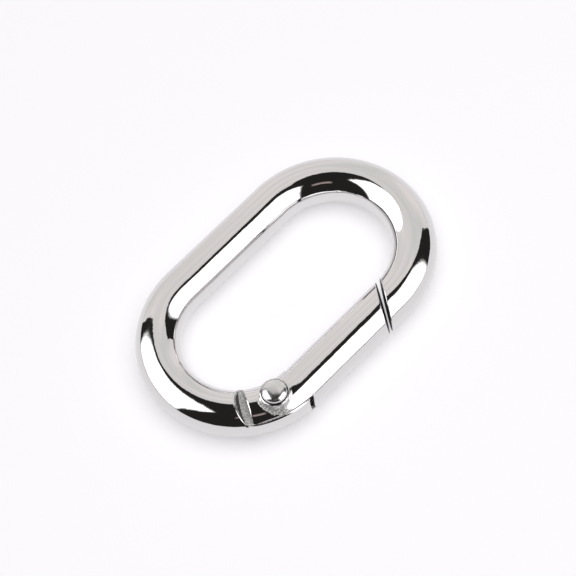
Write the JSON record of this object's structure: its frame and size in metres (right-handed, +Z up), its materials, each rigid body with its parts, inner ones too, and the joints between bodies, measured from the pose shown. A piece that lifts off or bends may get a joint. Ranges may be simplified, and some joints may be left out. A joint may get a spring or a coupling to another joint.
{
  "type": "snap hook",
  "caption": "Oval snap hook: a bright-plated ring of round bar with a sprung gate on its straight side, riveted at its end, that swings inward.",
  "frame": {"origin": "centre of the ring's outline, on the plane that its underside rests on", "axes": "+X along the ring from the hinge end to the nose end, +Y from the gate to the solid side, +Z up, square to the plane of the ring, on the side of the rivet's head"},
  "size_m": [0.05, 0.0312, 0.0083],
  "materials": {
    "casting": "polished nickel plating on a zinc casting",
    "rivet": "polished nickel plating on steel",
    "spring": "bare spring wire"
  },
  "bodies": {
    "ring": {"ring_body": "casting"},
    "gate": {"gate": "casting", "hinge_rivet": "rivet", "gate_spring": "spring"}
  },
  "joints": [
    {"name": "gate_hinge", "type": "hinge", "parent": "ring", "child": "gate", "pos_m": [-0.01357, -0.01146, 0.0034], "axis": [0, 0, 1], "range_deg": [0, 40], "stiffness_Nm_per_rad": 0.017, "springref_deg": -17.19, "deforming": ["gate_spring"]}
  ]
}
